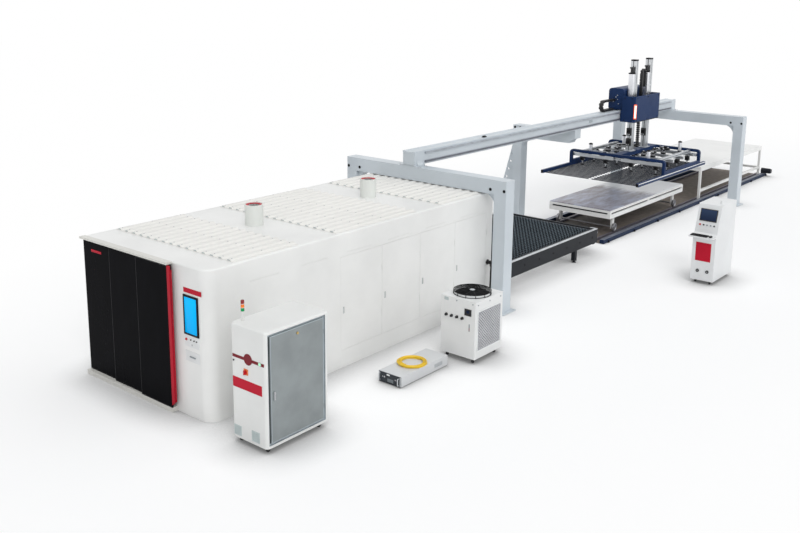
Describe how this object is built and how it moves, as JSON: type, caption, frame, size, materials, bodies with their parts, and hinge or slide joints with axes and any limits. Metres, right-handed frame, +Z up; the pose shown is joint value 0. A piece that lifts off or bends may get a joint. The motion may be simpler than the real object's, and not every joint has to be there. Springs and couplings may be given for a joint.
{
  "type": "fiber laser cutting machine",
  "caption": "Enclosed sheet laser cutting line with exchange pallets, overhead suction loader, sheet trolley, unloading table, cabinet, chiller and console.",
  "frame": {"origin": "centre of the line's footprint, on the floor (cords left out)", "axes": "+X along the line from the front door to the unloading end, +Z up, -Y towards the operator's side"},
  "size_m": [25.6462, 7.45, 4.5],
  "materials": {
    "body_white": "semi-gloss powder coat",
    "door_black": "polished",
    "handle_red": "gloss",
    "track_grey": "satin",
    "panel_white": "fine texture",
    "stop_red": "gloss",
    "vent_white": "semi-gloss",
    "machine_grey": "textured",
    "head_metal": "fine brushed",
    "pallet_dark": "matt",
    "slat_steel": "raw steel",
    "table_black": "matt",
    "portal_grey": "semi-gloss",
    "carriage_navy": "semi-gloss",
    "mast_silver": "anodised",
    "chain_black": "moulded",
    "cup_rubber": "matt",
    "cylinder_silver": "anodised",
    "rail_navy": "semi-gloss",
    "deck_film": "film over sheet",
    "wheel_steel": "turned",
    "cabinet_white": "textured powder coat",
    "cabinet_grey": "textured powder coat",
    "rack_zinc": "zinc plated",
    "lamp_stack": "clear moulded",
    "fan_black": "moulded",
    "guard_black": "satin",
    "hose_black": "ribbed",
    "source_silver": "satin",
    "fibre_yellow": "smooth jacket",
    "keys_black": "fine texture",
    "castor_black": "matt"
  },
  "bodies": {
    "line": {"front_cabin": "body_white", "enclosure_shell": "body_white", "roof_sheets": "body_white", "vent_stacks": "vent_white", "door_tracks": "track_grey", "door_leaf_far": "door_black", "operator_panel": "panel_white", "machine_bed": "machine_grey", "exchange_frame": "table_black", "front_portal": "portal_grey", "middle_support": "portal_grey", "end_portal": "portal_grey", "loader_beam": "portal_grey", "floor_rails": "rail_navy", "drive_units": "cylinder_silver", "unloading_table": "body_white", "cabinet_shell": "cabinet_white", "drive_rack": "rack_zinc", "signal_tower": "lamp_stack", "chiller_shell": "cabinet_white", "fan_guard": "guard_black", "water_hose": "hose_black", "laser_source": "source_silver", "fibre_coil": "fibre_yellow", "console_body": "cabinet_white", "console_keyboard": "keys_black", "unit_castors": "castor_black"},
    "near_leaf": {"door_leaf_near": "door_black", "door_handle": "handle_red"},
    "middle_leaf": {"door_leaf_middle": "door_black"},
    "stop_button": {"front_estop": "stop_red"},
    "drawer": {"keyboard_drawer": "panel_white"},
    "door_one": {"side_door_1": "body_white"},
    "door_two": {"side_door_2": "body_white"},
    "door_three": {"side_door_3": "body_white"},
    "door_four": {"side_door_4": "body_white"},
    "gantry": {"gantry_beam": "portal_grey"},
    "cross": {"cross_carriage": "carriage_navy"},
    "head": {"cutting_head": "head_metal"},
    "inner_table": {"inner_pallet": "pallet_dark"},
    "outer_table": {"outer_pallet_frame": "pallet_dark", "outer_pallet_slats": "slat_steel"},
    "carriage": {"loader_carriage": "carriage_navy", "lift_cylinders": "cylinder_silver", "beam_chain": "chain_black"},
    "lift": {"lift_masts": "mast_silver", "mast_chain": "chain_black", "lift_frame": "carriage_navy", "suction_bars": "mast_silver", "suction_cups": "cup_rubber"},
    "near_fork": {"fork_near": "carriage_navy"},
    "far_fork": {"fork_far": "carriage_navy"},
    "trolley": {"sheet_trolley": "body_white", "trolley_deck": "deck_film"},
    "front_axle": {"trolley_axle_front": "wheel_steel"},
    "rear_axle": {"trolley_axle_rear": "wheel_steel"},
    "electric_door": {"cabinet_door": "cabinet_grey"},
    "switch": {"isolator_switch": "stop_red"},
    "fan": {"chiller_fan": "fan_black"}
  },
  "joints": [
    {"name": "front_door_slide", "type": "slide", "parent": "line", "child": "near_leaf", "axis": [0, 1, 0], "range_m": [0, 1.5201]},
    {"name": "middle_leaf_slide", "type": "slide", "parent": "line", "child": "middle_leaf", "axis": [0, 1, 0], "range_m": [0, 0.76]},
    {"name": "front_stop_press", "type": "slide", "parent": "line", "child": "stop_button", "axis": [1, 0, 0], "range_m": [0, 0.006], "stiffness_N_per_m": 1500},
    {"name": "drawer_slide", "type": "slide", "parent": "line", "child": "drawer", "axis": [-1, 0, 0], "range_m": [0, 0.25]},
    {"name": "side_door_1_hinge", "type": "hinge", "parent": "line", "child": "door_one", "pos_m": [-8.75085, -0.612, 0], "axis": [0, 0, 1], "range_deg": [0, 95]},
    {"name": "side_door_2_hinge", "type": "hinge", "parent": "line", "child": "door_two", "pos_m": [-7.66085, -0.612, 0], "axis": [0, 0, 1], "range_deg": [0, 52]},
    {"name": "side_door_3_hinge", "type": "hinge", "parent": "line", "child": "door_three", "pos_m": [-6.57085, -0.612, 0], "axis": [0, 0, 1], "range_deg": [0, 95]},
    {"name": "side_door_4_hinge", "type": "hinge", "parent": "line", "child": "door_four", "pos_m": [-5.48085, -0.612, 0], "axis": [0, 0, 1], "range_deg": [0, 50]},
    {"name": "gantry_travel", "type": "slide", "parent": "line", "child": "gantry", "axis": [1, 0, 0], "range_m": [-1.15, 4.3]},
    {"name": "cross_travel", "type": "slide", "parent": "gantry", "child": "cross", "axis": [0, 1, 0], "range_m": [-1.08, 1.08]},
    {"name": "head_lift", "type": "slide", "parent": "cross", "child": "head", "axis": [0, 0, 1], "range_m": [-0.32, 0]},
    {"name": "outer_pallet_travel", "type": "slide", "parent": "line", "child": "outer_table", "axis": [-1, 0, 0], "range_m": [0, 5.165]},
    {"name": "inner_pallet_travel", "type": "slide", "parent": "line", "child": "inner_table", "axis": [1, 0, 0], "range_m": [0, 5.165]},
    {"name": "loader_travel", "type": "slide", "parent": "line", "child": "carriage", "axis": [1, 0, 0], "range_m": [-6.7, 1.9]},
    {"name": "frame_lift", "type": "slide", "parent": "carriage", "child": "lift", "axis": [0, 0, 1], "range_m": [-0.62, 0]},
    {"name": "near_fork_slide", "type": "slide", "parent": "lift", "child": "near_fork", "axis": [0, 1, 0], "range_m": [-1.3, 0]},
    {"name": "far_fork_slide", "type": "slide", "parent": "lift", "child": "far_fork", "axis": [0, -1, 0], "range_m": [-1.3, 0]},
    {"name": "trolley_travel", "type": "slide", "parent": "line", "child": "trolley", "axis": [1, 0, 0], "range_m": [-0.6, 6.2]},
    {"name": "front_axle_turn", "type": "hinge", "parent": "trolley", "child": "front_axle", "pos_m": [1.69315, 0.945, 0.1803], "axis": [0, 1, 0], "continuous": true},
    {"name": "rear_axle_turn", "type": "hinge", "parent": "trolley", "child": "rear_axle", "pos_m": [5.55315, 0.945, 0.1803], "axis": [0, 1, 0], "continuous": true},
    {"name": "cabinet_door_hinge", "type": "hinge", "parent": "line", "child": "electric_door", "pos_m": [-11.64685, -1.9573, 0], "axis": [0, 0, 1], "range_deg": [0, 110]},
    {"name": "main_switch_turn", "type": "hinge", "parent": "line", "child": "switch", "pos_m": [-12.77685, -1.54, 1.148], "axis": [1, 0, 0], "range_deg": [0, 90]},
    {"name": "fan_spin", "type": "hinge", "parent": "line", "child": "fan", "pos_m": [-7.80185, -1.91, 1.095], "axis": [0, 0, 1], "continuous": true}
  ],
  "couplings": [
    {"joint": "middle_leaf_slide", "follows": "front_door_slide", "ratio": 0.5},
    {"joint": "inner_pallet_travel", "follows": "outer_pallet_travel", "ratio": 1},
    {"joint": "far_fork_slide", "follows": "near_fork_slide", "ratio": 1},
    {"joint": "front_axle_turn", "follows": "trolley_travel", "rad_per_m": 9.0909},
    {"joint": "rear_axle_turn", "follows": "trolley_travel", "rad_per_m": 9.0909}
  ]
}
